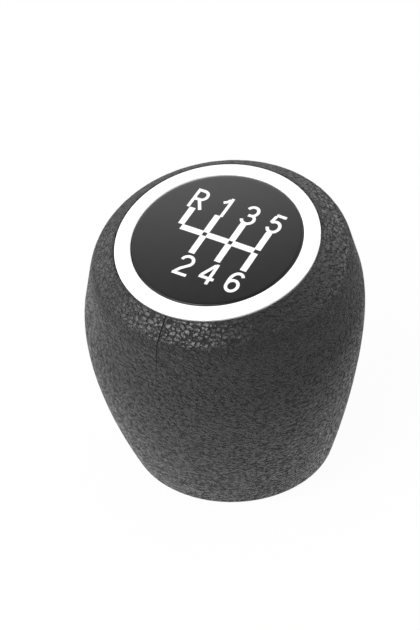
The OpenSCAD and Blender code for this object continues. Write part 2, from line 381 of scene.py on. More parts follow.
def grip_surface(angle, s):
    """The loft: at each angle a chain of five parabolas, each ruled by one inner control point.

    A parabola runs between the middles of its control point's two legs. s counts the parabolas
    from 0 at the ring's edge to 5 at the bottom edge.
    """
    edge = ring_points(EDGE_RING, angle)
    shoulder = ring_points(SHOULDER_RING, angle)
    belly = ring_points(BELLY_RING, angle)
    waist = ring_points(WAIST_RING, angle)
    base = ring_points((BASE_EDGE * (1 - math.sin(wall_lean())), BASE_BACK, BASE_R, BASE_R, 0), angle)
    first = edge + (shoulder - edge) * SHOULDER_REACH
    flank = shoulder + (belly - shoulder) * FLANK_REACH
    p = np.stack([edge, first, shoulder, flank, belly, waist, base])
    middles = (p[1:-2] + p[2:-1]) / 2
    start = np.concatenate([p[:1], middles])
    end = np.concatenate([middles, p[-1:]])
    i = np.minimum(s.astype(int), PARABOLAS - 1)
    t = (s - i)[:, None, None]
    return (1 - t) ** 2 * start[i] + 2 * t * (1 - t) * p[1:-1][i] + t ** 2 * end[i]


def grip_angles(count, samples=20001):
    """Angles round the grip, closer together by the parting line on the driver's side.

    Their density is one plus a bell curve round -90 degrees; the angles are its inverse sum.
    """
    fine = np.linspace(-np.pi, np.pi, samples)
    bell = np.exp(-((fine + np.pi / 2) / math.radians(PARTING_SPREAD)) ** 2)
    density = 1 + PARTING_COLUMNS * bell
    total = np.concatenate([[0], np.cumsum((density[1:] + density[:-1]) / 2)])
    return np.interp(np.arange(count) / count * total[-1], total, fine)


def even_rows(step, samples=801, meridians=24):
    """Values of s whose points lie evenly along the meridian, averaged over the angles."""
    s = np.linspace(0, PARABOLAS, samples)
    line = grip_surface(np.linspace(0, 2 * np.pi, meridians, endpoint=False), s)
    length = np.linalg.norm(np.diff(line, axis=0), axis=-1).mean(axis=1)
    total = np.concatenate([[0], np.cumsum(length)])
    return np.interp(np.linspace(0, total[-1], int(total[-1] / step) + 1), total, s)


def rows_between(a, b, count):
    """Rows of points on straight lines from row a to row b, without a and with b."""
    t = np.linspace(0, 1, count + 1)[1:, None, None]
    return a[None] + (b - a)[None] * t


def circle_row(radius, z, angle, back=0.0):
    """A level circle of points round an axis that stands the given distance behind the lever's."""
    height = np.full(len(angle), float(z))
    return np.stack([radius * np.cos(angle), radius * np.sin(angle) - back, height], -1)


def leather_grain(p, cell_mm, depth_mm):
    """Height of the grain in millimetres.

    Cells drawn out along the lever, bent by soft noise, give pebbles with valleys between them;
    the valleys are deep or shallow by a second noise, so that they break up into short pores.
    """
    moved = p
    for size, reach, salts in GRAIN_BENDS:
        bend = np.stack([soft_noise(p, size, salt) for salt in salts], -1) - 0.5
        moved = moved + bend * reach
    first, second = cell_noise(moved / (cell_mm * np.array([1, 1, GRAIN_STRETCH])), GRAIN_SALT)
    valley = 1 - smooth_step(*VALLEY_SLOPE, second - first)
    pores = smooth_step(*PORE_STOPS, soft_noise(p, PORE_SIZE, PORE_SALT))
    mask = PORE_LEAST + (1 - PORE_LEAST) * pores
    swell = sum((soft_noise(p, size, salt) - 0.5) / len(SWELLS) for size, salt in SWELLS)
    return depth_mm * (PEBBLE_LEVEL - valley * mask + swell * SWELL_SHARE)


def outward_normals(rows):
    """Unit normals of a grid of rows: the cross product of its steps down and round."""
    across = np.roll(rows, -1, axis=1) - np.roll(rows, 1, axis=1)
    along = np.gradient(rows, axis=0)
    normal = np.cross(along, across)
    return normal / np.linalg.norm(normal, axis=-1, keepdims=True)


def grip_mesh(settings):
    """The whole grip as one closed shell.

    Rows run from the ring's edge down the grained outside, round the bottom edge, in over the
    flat base, up the room for the core and back over the ring's seat. The outside is moved
    along its normals by the grain, which fades out over the bottom edge's rows, and by the groove
    of the parting line.
    """
    angle = grip_angles(settings.columns)
    step = settings.row_step / MM
    outside = grip_surface(angle, even_rows(step))
    lean = wall_lean()
    turn = lean + (math.pi / 2 - lean) * np.arange(1, BASE_EDGE_ROWS + 1) / BASE_EDGE_ROWS
    base_in = BASE_R - BASE_EDGE * math.cos(lean)
    edge = np.stack([
        circle_row(base_in + BASE_EDGE * math.cos(a), BASE_EDGE * (1 - math.sin(a)), angle, BASE_BACK)
        for a in turn
    ])
    foot_r, foot_z = FOOT_R + CORE_GAP, FOOT_TOP + CORE_GAP
    base = rows_between(edge[-1], circle_row(foot_r, 0, angle), BASE_ROWS)
    room = [(foot_r, foot_z), (HUB_ROOM_R, foot_z), (HUB_ROOM_R, HUB_ROOM_TOP)]
    room = np.stack([circle_row(r, z, angle) for r, z in room])
    cup_r = CUP_R + CORE_GAP
    seat = [(cup_r, CUP_LOW_Z - CORE_GAP), (cup_r, RING_SEAT_Z), (SEAT_R, RING_SEAT_Z), (SEAT_R, SEAT_TOP_Z)]
    seat = np.stack([on_disc(circle_row(r, z, angle)) for r, z in seat])
    grained = np.concatenate([outside, edge])
    rows = np.concatenate([grained, base, room, seat])

    height = leather_grain(grained, settings.grain_size / MM, settings.grain_depth / MM)
    row = np.arange(len(grained))[:, None]
    fade_in = smooth_step(0.0, GRAIN_START, row * step)
    fade_out = 1 - smooth_step(len(outside) - 1.5, len(grained) - 1.0, row)
    driver_side = grained[..., 1] < -EDGE_RING[1]
    fade_up = smooth_step(PARTING_LOW_Z, PARTING_HIGH_Z, grained[..., 2])
    groove = np.exp(-(grained[..., 0] / PARTING_W) ** 2) * driver_side * fade_up
    lift = height * fade_in * fade_out * (1 - groove) - groove * settings.parting_depth / MM
    rows[:len(grained)] += outward_normals(grained) * lift[..., None]

    parting = np.zeros(rows.shape[:2])
    parting[:len(grained)] = groove
    return rows, parting


# Ring and cap

def dome_z(x, y):
    """Height of the cap's dome: a sphere's cap of rise CAP_DOME over CAP_R, above its rim."""
    radius = (CAP_R ** 2 + CAP_DOME ** 2) / (2 * CAP_DOME)
    return CAP_RIM_Z + CAP_DOME - radius + np.sqrt(radius ** 2 - x ** 2 - y ** 2)


def ring_profile():
    """The ring's section: a quarter ellipse up from the outer edge, one down over the lip, the skirt."""
    a = np.linspace(0, np.pi / 2, SLOPE_POINTS)
    top_r = RING_IN + RING_LIP
    slope = np.stack([top_r + (RING_OUT - top_r) * np.cos(a), RING_CROWN * np.sin(a)], -1)
    a = np.linspace(np.pi / 2, np.pi, LIP_POINTS)[1:]
    lip = np.stack([top_r + RING_LIP * np.cos(a), RING_CROWN / 2 * (1 + np.sin(a))], -1)
    below = [(RING_IN, SKIRT_LOW), (SKIRT_OUT, SKIRT_LOW), (SKIRT_OUT, RING_SEAT_Z), (RING_OUT, RING_SEAT_Z)]
    return np.concatenate([slope, lip, below])[::-1]


def cap_profile():
    """The cap's section: the dome from its pole, a quarter circle round the edge, and the flat floor."""
    edge_r = CAP_R - CAP_EDGE
    r = np.linspace(POLE_R, edge_r, DOME_POINTS)
    dome = np.stack([r, dome_z(r, 0)], -1)
    a = np.linspace(np.pi / 2, 0, EDGE_POINTS)[1:]
    edge_z = dome_z(edge_r, 0) - CAP_EDGE
    edge = np.stack([edge_r + CAP_EDGE * np.cos(a), edge_z + CAP_EDGE * np.sin(a)], -1)
    floor = [(CAP_R, CAP_FLOOR_Z), (POLE_R, CAP_FLOOR_Z)]
    return np.concatenate([dome, edge, floor])


def hook_parts(r_in, r_out, z_top, z_low, turns):
    """Snap hooks as closed prisms: a side view of leg and barb, drawn across the hook's width."""
    barb_r, barb_top = r_out + BARB, z_low + BARB_H
    outline = np.array([
        (r_in, z_low), (r_out, z_low), (barb_r, z_low + BARB_NOSE * BARB_H),
        (barb_r, barb_top), (r_out, barb_top), (r_out, z_top), (r_in, z_top),
    ])
    n = len(outline)
    y = np.repeat([-HOOK_W / 2, HOOK_W / 2], n)
    r = np.tile(outline[:, 0], 2)
    z = np.tile(outline[:, 1], 2)
    faces = [[i, (i + 1) % n, n + (i + 1) % n, n + i] for i in range(n)]
    faces += [list(range(n - 1, -1, -1)), list(range(n, 2 * n))]
    parts = []
    for turn in turns:
        a = math.radians(turn)
        x_turned = r * math.cos(a) - y * math.sin(a)
        y_turned = r * math.sin(a) + y * math.cos(a)
        parts.append((np.column_stack([x_turned, y_turned, z]), faces))
    return parts


# The shift pattern

def arc(cx, cy, rx, ry, start, end, count=14):
    """Points on an ellipse's arc between two angles in degrees."""
    a = np.radians(np.linspace(start, end, count))
    return np.stack([cx + rx * np.cos(a), cy + ry * np.sin(a)], -1)


def line(*points):
    """Points in plan, joined by straight lines."""
    return np.array(points, float)


def figure_strokes():
    """Centre lines of each figure, drawn in a box 3 mm wide and 4.84 mm high round its middle."""
    top, foot = 2.42, -2.42
    return {
        "R": [
            line((-1.24, foot), (-1.24, top)),
            np.concatenate([line((-0.93, 2.11)), arc(-0.1, 1.0, 1.1, 1.11, 90, -90), line((-0.93, -0.11))]),
            line((0.05, -0.35), (1.3, foot)),
        ],
        "1": [
            line((0.55, foot), (0.55, top)),
            line((-0.78, 0.92), (-0.15, 1.28), (0.28, 1.95)),
        ],
        "2": [
            np.concatenate([arc(0, 0.98, 1.15, 1.13, 175, -38, 18), line((-0.35, -0.85), (-1.05, -1.8))]),
            line((-1.47, -2.11), (1.47, -2.11)),
        ],
        "3": [
            np.concatenate([arc(-0.02, 1.02, 1.06, 1.09, 165, -80, 18), line((-0.45, -0.07))]),
            arc(0, -0.99, 1.19, 1.12, 72, -165, 20),
        ],
        "4": [
            line((0.62, foot), (0.62, top)),
            line((0.36, 2.1), (-1.2, -0.78)),
            line((-1.5, -1.09), (1.5, -1.09)),
        ],
        "5": [
            line((1.2, 2.0), (-0.8, 2.0)),
            np.concatenate([line((-0.7, 1.68), (-0.98, 0.25)), arc(-0.02, -0.8, 1.13, 1.27, 128, -162, 20)]),
        ],
        "6": [
            arc(0.03, -0.86, 1.1, 1.22, 0, 360, 29),
            np.concatenate([
                line((-1.08, -0.55)),
                arc(0.16, 0.28, 1.25, 1.83, 178, 84, 12),
                arc(0.16, 1.2, 0.95, 0.91, 78, 20, 6),
            ]),
        ],
    }


def gate_xs():
    """Places of the four gates across the cap: reverse, then the three forward gates."""
    return [GATE_X + (i - 1.5) * GATE_PITCH for i in range(4)]


def gate_bars():
    """Middle lines of the gate's bars, which run into each crossing and leave a bare square in it."""
    half = LINE_W / 2
    bare = half - GATE_LAP
    xs = gate_xs()
    bars = [line((x, GATE_Y + bare), (x, GATE_Y + GATE_REACH)) for x in xs[1:]]
    bars += [line((x, GATE_Y - GATE_REACH), (x, GATE_Y - bare)) for x in xs[1:]]
    bars += [line((xs[0], GATE_Y + GATE_CORNER * half), (xs[0], GATE_Y + GATE_REACH))]
    cross = [line((xs[0] + GATE_STEP, GATE_Y), (xs[1] - bare, GATE_Y))]
    cross += [line((xs[i] + bare, GATE_Y), (xs[i + 1] - bare, GATE_Y)) for i in (1, 2)]
    return bars, cross


def turned(path, degrees=GATE_TURN):
    """A path in plan turned about the cap's middle."""
    c, s = math.cos(math.radians(degrees)), math.sin(math.radians(degrees))
    return path @ np.array([[c, s], [-s, c]])


def ribbon(path, width, lift, low):
    """A thin closed slab along a path on the dome: its middle line moved half the width each way."""
    step = np.linalg.norm(np.diff(path, axis=0), axis=1)
    total = np.concatenate([[0], np.cumsum(step)])
    closed = np.allclose(path[0], path[-1])
    count = max(3, int(total[-1] / RIBBON_STEP))
    at = np.union1d(np.linspace(0, total[-1], count), total)
    p = np.stack([np.interp(at, total, path[:, k]) for k in (0, 1)], -1)
    if closed:
        p = p[:-1]
        tangent = np.roll(p, -1, axis=0) - np.roll(p, 1, axis=0)
    else:
        tangent = np.gradient(p, axis=0)
    tangent /= np.linalg.norm(tangent, axis=1, keepdims=True)
    side = np.stack([-tangent[:, 1], tangent[:, 0]], -1) * width / 2
    section = []
    for offset, rise in ((side, lift), (-side, lift), (-side, low), (side, low)):
        q = p + offset
        section.append(np.column_stack([q, dome_z(q[:, 0], q[:, 1]) + rise]))
    verts = np.stack(section, 1).reshape(-1, 3)
    faces = []
    n = len(p)
    for k in range(n if closed else n - 1):
        a, b = 4 * k, 4 * ((k + 1) % n)
        faces += [[a + c, a + (c + 1) % 4, b + (c + 1) % 4, b + c] for c in range(4)]
    if not closed:
        last = 4 * (n - 1)
        faces += [[3, 2, 1, 0], [last, last + 1, last + 2, last + 3]]
    return verts, faces


def pattern_slabs(lift):
    """Slabs of paint for the gate's bars, which reach down to the engraved floor, and for the figures."""
    slabs = []
    for k, bars in enumerate(gate_bars()):
        slabs += [ribbon(turned(bar), LINE_W, lift + PAINT_STEP * k, -LINE_H) for bar in bars]
    strokes = figure_strokes()
    xs = gate_xs()
    for name, (gate, aside, y) in FIGURES.items():
        for k, path in enumerate(strokes[name]):
            path = turned(path + (xs[gate] + aside, y))
            slabs.append(ribbon(path, FIGURE_STROKE, lift + PAINT_STEP * k, -FIGURE_SINK))
    return slabs


# Shader nodes

def add(tree, kind, **values):
    """A new node; values name its properties, or its input sockets with underscores for spaces."""
    node = tree.nodes.new(kind)
    for key, value in values.items():
        if hasattr(node, key):
            setattr(node, key, value)
        else:
            node.inputs[key.replace("_", " ")].default_value = value
    return node


def object_point(tree, size_mm, stretch=(1, 1, 1)):
    """Object coordinates counted in steps of the given size."""
    place = add(tree, "ShaderNodeTexCoord")
    mapping = add(tree, "ShaderNodeMapping", Scale=[1 / (size_mm * MM * k) for k in stretch])
    tree.links.new(place.outputs["Object"], mapping.inputs["Vector"])
    return mapping.outputs["Vector"]


def object_noise(tree, size_mm, stretch=(1, 1, 1), **values):
    """Noise on Object coordinates with features of the given size."""
    noise = add(tree, "ShaderNodeTexNoise", Scale=1.0, **values)
    tree.links.new(object_point(tree, size_mm, stretch), noise.inputs["Vector"])
    return noise


def bent(tree, point, noise, reach):
    """A point moved by up to half the reach either way along each axis by a noise's colour."""
    move = add(tree, "ShaderNodeVectorMath", operation="MULTIPLY_ADD")
    tree.links.new(noise.outputs["Color"], move.inputs[0])
    move.inputs[1].default_value = (reach, reach, reach)
    tree.links.new(point, move.inputs[2])
    return move.outputs["Vector"]


def ramp(tree, source, low, high, stops=(0.0, 1.0)):
    """Maps a value between two stops to the range from low to high."""
    node = add(tree, "ShaderNodeMapRange", clamp=True)
    node.inputs["From Min"].default_value = stops[0]
    node.inputs["From Max"].default_value = stops[1]
    node.inputs["To Min"].default_value = low
    node.inputs["To Max"].default_value = high
    tree.links.new(source, node.inputs["Value"])
    return node.outputs["Result"]


def math_node(tree, operation, *values):
    """A Math node; each value is a number or the socket that gives it."""
    node = add(tree, "ShaderNodeMath", operation=operation)
    for socket, value in zip(node.inputs, values):
        if isinstance(value, bpy.types.NodeSocket):
            tree.links.new(value, socket)
        else:
            socket.default_value = value
    return node.outputs[0]


def mix_color(tree, factor, first, second):
    """The first colour where the factor is 0, the second where it is 1."""
    node = add(tree, "ShaderNodeMix", data_type="RGBA")
    sockets = [s for s in node.inputs if s.type == "RGBA"]
    for socket, color in zip(sockets, (first, second)):
        socket.default_value = (*color, 1)
    tree.links.new(factor, node.inputs["Factor"])
    return [s for s in node.outputs if s.type == "RGBA"][0]


def bump(tree, source, distance_mm, strength=1.0, under=None):
    """A normal bent by a height from 0 to 1 that stands for the distance, over another bump's normal."""
    node = add(tree, "ShaderNodeBump", Strength=strength, Distance=distance_mm * MM)
    tree.links.new(source, node.inputs["Height"])
    if under is not None:
        tree.links.new(under, node.inputs["Normal"])
    return node.outputs["Normal"]


def mixed_shader(tree, factor, first, second, output):
    """Leads a mix of two shaders by a factor to the output node."""
    mix = add(tree, "ShaderNodeMixShader")
    tree.links.new(factor, mix.inputs[0])
    tree.links.new(first.outputs[0], mix.inputs[1])
    tree.links.new(second.outputs[0], mix.inputs[2])
    tree.links.new(mix.outputs[0], output.inputs["Surface"])


def shaded(color, share):
    """A colour times a share, no channel over 1."""
    return tuple(min(1, c * share) for c in color)


# Materials

def plain_material(name, color, roughness, metallic=0.0):
    """A new material with a Principled shader, and its node tree for the detail to come."""
    material = bpy.data.materials.new(name)
    material.use_nodes = True
    shader = material.node_tree.nodes["Principled BSDF"]
    shader.inputs["Base Color"].default_value = (*color, 1)
    shader.inputs["Roughness"].default_value = roughness
    shader.inputs["Metallic"].default_value = metallic
    shader.inputs["IOR"].default_value = 1.5
    return material, material.node_tree, shader


def grip_material(settings):
    """Soft charcoal leather grain: creases darkened by painted shade round paler pebbles, drawn out round
    the grip.

    The creases are the edges of bent Voronoi cells. They narrow over the shoulder and are broken
    into short strokes by a noise. They are rougher than the pebbles, whose shine is patchy by a finer
    noise, and darker by painted shade, as is the groove of the parting line.
    """
    color = settings.grip_color
    material, tree, shader = plain_material("grip_leather_grain", color, 0.5)
    shader.inputs["Sheen Weight"].default_value = settings.grip_sheen
    shader.inputs["Sheen Roughness"].default_value = 0.35
    shader.inputs["Sheen Tint"].default_value = (1, 1, 1, 1)

    cells = object_point(tree, settings.crease_size / MM, (1, 1, CREASE_STRETCH))
    for size, reach in CREASE_BENDS:
        cells = bent(tree, cells, object_noise(tree, size, Detail=2.0), reach)
    creases = add(tree, "ShaderNodeTexVoronoi", feature="DISTANCE_TO_EDGE", Scale=1.0)
    tree.links.new(cells, creases.inputs["Vector"])
    place = add(tree, "ShaderNodeSeparateXYZ")
    tree.links.new(object_point(tree, 1), place.inputs[0])
    heights = (CREASE_LOW_Z, CREASE_HIGH_Z)
    narrow = ramp(tree, place.outputs["Z"], 1 / CREASE_BODY, 1 / CREASE_SHOULDER, heights)
    valley = ramp(tree, math_node(tree, "MULTIPLY", creases.outputs["Distance"], narrow), 1.0, 0.0)

    noise = object_noise(tree, BREAK_SIZE, BREAK_STRETCH, Detail=2.0)
    breaks = ramp(tree, noise.outputs["Fac"], BREAK_LEAST, 1.0, BREAK_STOPS)
    stroke = math_node(tree, "MULTIPLY", valley, breaks)
    parting = add(tree, "ShaderNodeAttribute", attribute_name="parting")
    # Painted shade: the base colour darkens in the creases and in the parting line's groove
    painted_shade_mask = math_node(tree, "MAXIMUM", stroke, parting.outputs["Fac"])
    mixed = mix_color(tree, painted_shade_mask, shaded(color, PEBBLE_SHADE), shaded(color, CREASE_PAINTED_SHADE))
    tree.links.new(mixed, shader.inputs["Base Color"])

    patches = object_noise(tree, DULL_SIZE, Detail=3.0, Roughness=0.7)
    dull = ramp(tree, patches.outputs["Fac"], 0.0, DULL_MOST, DULL_STOPS)
    worn = math_node(tree, "MAXIMUM", painted_shade_mask, dull)
    tree.links.new(ramp(tree, worn, settings.grip_roughness, 1.0), shader.inputs["Roughness"])

    pits = object_noise(tree, PIT_SIZE, Detail=3.0, Roughness=0.7)
    under = bump(tree, ramp(tree, stroke, 1.0, 0.0), settings.crease_depth / MM)
    normal = bump(tree, pits.outputs["Fac"], PIT_DEPTH, settings.fine_bump, under)
    tree.links.new(normal, shader.inputs["Normal"])
    return material


def polish(tree, shader, haze, roughness, wave_mm, wave_depth_mm, wave_strength):
    """A haze noise that varies the roughness, and long waves that bend what the surface mirrors."""
    tree.links.new(ramp(tree, haze.outputs["Fac"], *roughness, HAZE_STOPS), shader.inputs["Roughness"])
    wave = object_noise(tree, wave_mm, Detail=1.0)
    tree.links.new(bump(tree, wave.outputs["Fac"], wave_depth_mm, wave_strength), shader.inputs["Normal"])


def ring_material(settings):
    """Plated ring, its nearly white and mostly diffuse colour a painted reflection of the bright studio,
    with faint polishing haze.
    """
    material, tree, shader = plain_material("ring_plate_painted_reflection", settings.ring_painted_reflection_color, 0.1, metallic=0.12)
    haze = object_noise(tree, 1.4, Detail=4.0, Roughness=0.65)
    polish(tree, shader, haze, (0.12, 0.22), wave_mm=6.0, wave_depth_mm=0.02, wave_strength=0.25)
    return material


def cap_material(settings):
    """Polished black plastic with a trace of dust haze."""
    material, tree, shader = plain_material("cap_gloss_black", settings.cap_color, 0.12)
    haze = object_noise(tree, 2.2, Detail=5.0, Roughness=0.6)
    polish(tree, shader, haze, (0.1, 0.22), wave_mm=9.0, wave_depth_mm=0.03, wave_strength=0.2)
    return material


def print_material(settings):
    """White paint that fills the pattern, slightly uneven."""
    pale = settings.print_color
    material, tree, shader = plain_material("pattern_white_paint", pale, 0.35)
    patch = object_noise(tree, 0.9, Detail=4.0, Roughness=0.7).outputs["Fac"]
    share = ramp(tree, patch, 0, 1, stops=(0.35, 0.6))
    tree.links.new(mix_color(tree, share, shaded(pale, 0.9), pale), shader.inputs["Base Color"])
    tree.links.new(bump(tree, patch, distance_mm=0.02, strength=0.5), shader.inputs["Normal"])
    return material


def moulded_material(name, color, roughness, grain_mm=0.25):
    """Plain moulded plastic with a fine spark-eroded texture and slight flow marks."""
    material, tree, shader = plain_material(name, color, roughness)
    flow = object_noise(tree, 4.0, (1, 1, 3), Detail=3.0).outputs["Fac"]
    grain = object_noise(tree, grain_mm, Detail=2.0).outputs["Fac"]
    mixed = mix_color(tree, flow, *(shaded(color, share) for share in FLOW_SHADES))
    tree.links.new(mixed, shader.inputs["Base Color"])
    dull = ramp(tree, flow, *(roughness + change for change in FLOW_ROUGHNESS))
    tree.links.new(dull, shader.inputs["Roughness"])
    tree.links.new(bump(tree, grain, distance_mm=0.015, strength=0.6), shader.inputs["Normal"])
    return material


def wire_material():
    """Spring steel with drawing marks along the wire."""
    material, tree, shader = plain_material("clip_spring_steel", (0.5, 0.5, 0.52), 0.3, metallic=1.0)
    marks = object_noise(tree, 0.3, Detail=4.0).outputs["Fac"]
    tree.links.new(ramp(tree, marks, 0.22, 0.42), shader.inputs["Roughness"])
    tree.links.new(bump(tree, marks, distance_mm=0.01, strength=0.5), shader.inputs["Normal"])
    return material


# The studio

def camera_axes(settings):
    """The camera's right, up and back: azimuth 0 looks along +Y, and the roll turns it about its view."""
    a, e, r = settings.azimuth, settings.elevation, settings.roll
    level = Vector((math.cos(a), math.sin(a), 0))
    back = Vector((math.sin(a) * math.cos(e), -math.cos(a) * math.cos(e), math.sin(e)))
    rise = back.cross(level)
    right = level * math.cos(r) + rise * math.sin(r)
    up = rise * math.cos(r) - level * math.sin(r)
    return right, up, back


def place_camera(settings):
    """Puts the camera at its distance behind the aim; its lens gives the stated pixels per millimetre."""
    data = bpy.data.cameras.new("camera")
    camera = bpy.data.objects.new("camera", data)
    bpy.context.scene.collection.objects.link(camera)
    right, up, back = camera_axes(settings)
    aim = right * settings.aim_right + up * settings.aim_up
    turn = Matrix((right, up, back)).transposed().to_4x4()
    camera.matrix_world = Matrix.Translation(aim + back * settings.distance) @ turn
    data.sensor_width = SENSOR_WIDTH
    data.lens = settings.scale * settings.distance / MM * SENSOR_WIDTH / LONG_SIDE_PX
    data.clip_start = 0.01
    data.clip_end = 20
    bpy.context.scene.camera = camera


def studio_direction(settings, azimuth, elevation):
    """A direction by its degrees clockwise from straight behind the knob, as the camera sees it."""
    side = Vector((math.cos(settings.azimuth), math.sin(settings.azimuth), 0))
    away = Vector((-math.sin(settings.azimuth), math.cos(settings.azimuth), 0))
    a, e = math.radians(azimuth), math.radians(elevation)
    return (side * math.sin(a) + away * math.cos(a)) * math.cos(e) + Vector((0, 0, math.sin(e)))


def seen_directly(tree):
    """A Light Path node, and 1 for rays from the camera and through clear things."""
    path = add(tree, "ShaderNodeLightPath")
    seen = math_node(tree, "MAXIMUM", path.outputs["Is Camera Ray"], path.outputs["Is Transmission Ray"])
    return path, seen


def soft_world(settings):
    """Soft light from all round: lobes of level times e to the sharpness times the cosine less one.

    The camera and rays through clear things see plain white instead.
    """
    world = bpy.data.worlds.new("studio")
    world.use_nodes = True
    tree = world.node_tree
    tree.nodes.clear()
    place = add(tree, "ShaderNodeTexCoord")
    total = settings.world_level
    for azimuth, elevation, level, sharpness in SOFT_LIGHTS:
        cosine = add(tree, "ShaderNodeVectorMath", operation="DOT_PRODUCT")
        tree.links.new(place.outputs["Generated"], cosine.inputs[0])
        cosine.inputs[1].default_value = studio_direction(settings, azimuth, elevation)
        less = math_node(tree, "SUBTRACT", cosine.outputs["Value"], 1)
        lobe = math_node(tree, "EXPONENT", math_node(tree, "MULTIPLY", less, sharpness))
        total = math_node(tree, "MULTIPLY_ADD", lobe, level, total)
    _, seen = seen_directly(tree)
    light = add(tree, "ShaderNodeBackground", Color=(1, 1, 1, 1))
    tree.links.new(total, light.inputs["Strength"])
    white = add(tree, "ShaderNodeBackground", Color=(1, 1, 1, 1), Strength=1.0)
    mixed_shader(tree, seen, light, white, add(tree, "ShaderNodeOutputWorld"))
    bpy.context.scene.world = world


def pale_floor(settings):
    """A wide floor that the camera sees nearly white, with the knob's soft shadow kept.

    Glossy rays see a painted pool of light instead: the floor glows, its level falling evenly from POOL_NEAR
    to POOL_FAR.
    """
    material, tree, shader = plain_material("floor_pale", settings.floor_color, 0.8)
    away = add(tree, "ShaderNodeVectorMath", operation="DISTANCE")
    tree.links.new(object_point(tree, 1), away.inputs[0])
    away.inputs[1].default_value = studio_direction(settings, POOL_AZIMUTH, 0) * POOL_ASIDE
    # Painted pool of light: the floor glows for glossy rays, brightest near the knob
    painted_pool = ramp(tree, away.outputs["Value"], POOL_LEVEL - 1, POOL_FAR_LEVEL - 1, (POOL_NEAR, POOL_FAR))
    path, seen = seen_directly(tree)
    mirrored = path.outputs["Is Glossy Ray"]
    painted_pool_glow = add(tree, "ShaderNodeEmission")
    tree.links.new(math_node(tree, "MULTIPLY_ADD", mirrored, painted_pool, 1), painted_pool_glow.inputs["Strength"])
    share = math_node(tree, "MAXIMUM", math_node(tree, "MULTIPLY", seen, settings.floor_white), mirrored)
    mixed_shader(tree, share, shader, painted_pool_glow, tree.nodes["Material Output"])
    half, z = FLOOR_HALF, -FLOOR_DROP
    verts = [(-half, -half, z), (half, -half, z), (half, half, z), (-half, half, z)]
    floor = new_object("floor", verts, [[0, 1, 2, 3]], material, smooth=False)


def key_light(settings):
    """A square area light that faces the knob's middle."""
    aim = Vector((0, 0, KEY_AIM_Z * MM))
    place = aim + studio_direction(settings, KEY_AZIMUTH, KEY_ELEVATION) * settings.key_distance
    data = bpy.data.lights.new("key", "AREA")
    data.size = settings.key_size
    data.energy = settings.key_power
    lamp = bpy.data.objects.new("key", data)
    lamp.location = place
    lamp.rotation_euler = (place - aim).to_track_quat("Z", "Y").to_euler()
    bpy.context.scene.collection.objects.link(lamp)


# What a user may change

class KnobGripSettings(bpy.types.PropertyGroup):
    """Mesh, grain and finish of the grip"""
    columns: bpy.props.IntProperty(
        name="Columns",
        description="Points round the grip",
        default=600, min=60, max=620)
    row_step: bpy.props.FloatProperty(
        name="Row step",
        description="Distance between rows down the grip",
        default=0.36 * MM, unit="LENGTH", precision=5)
    grain_size: bpy.props.FloatProperty(
        name="Grain size",
        description="Width of a pebble of the grain",
        default=0.85 * MM, unit="LENGTH", precision=5)
    grain_depth: bpy.props.FloatProperty(
        name="Grain depth",
        description="Depth of the pores between the pebbles",
        default=0.035 * MM, unit="LENGTH", precision=5)
    parting_depth: bpy.props.FloatProperty(
        name="Parting line",
        description="Depth of the parting line on the driver's side",
        default=0.16 * MM, unit="LENGTH", precision=5)
    crease_size: bpy.props.FloatProperty(
        name="Crease size",
        description="Distance between the fine creases",
        default=1.1 * MM, unit="LENGTH", precision=5)
    crease_depth: bpy.props.FloatProperty(
        name="Crease depth",
        description="Depth of the fine creases",
        default=0.55 * MM, unit="LENGTH", precision=5)
    fine_bump: bpy.props.FloatProperty(
        name="Fine bump",
        description="Strength of the pits finer than the creases",
        default=0.1, min=0, max=1)
    grip_roughness: bpy.props.FloatProperty(
        name="Roughness",
        description="Roughness of the pebbles",
        default=0.22, min=0, max=1)
    grip_sheen: bpy.props.FloatProperty(
        name="Sheen",
        description="Soft shine at grazing angles",
        default=0.1, min=0, max=1)
    grip_color: bpy.props.FloatVectorProperty(
        name="Colour",
        description="Colour of the soft grip",
        subtype="COLOR", size=3, default=(0.0140, 0.0140, 0.0148))


class KnobTopSettings(bpy.types.PropertyGroup):
    """Mesh and finish of the ring, the cap and the painted pattern"""
    columns: bpy.props.IntProperty(
        name="Columns",
        description="Points round the turned pieces",
        default=256, min=48, max=512)
    # The plated ring's near-white colour is a painted reflection of the bright studio
    ring_painted_reflection_color: bpy.props.FloatVectorProperty(
        name="Ring",
        description="Colour of the plated ring",
        subtype="COLOR", size=3, default=(0.97, 0.97, 0.97))
    cap_color: bpy.props.FloatVectorProperty(
        name="Cap",
        description="Colour of the gloss cap",
        subtype="COLOR", size=3, default=(0.006, 0.006, 0.0065))
    print_color: bpy.props.FloatVectorProperty(
        name="Pattern",
        description="Colour of the shift pattern",
        subtype="COLOR", size=3, default=(0.93, 0.93, 0.92))
    print_lift: bpy.props.FloatProperty(
        name="Pattern lift",
        description="How far the paint stands on the cap",
        default=0.02 * MM, unit="LENGTH", precision=5)


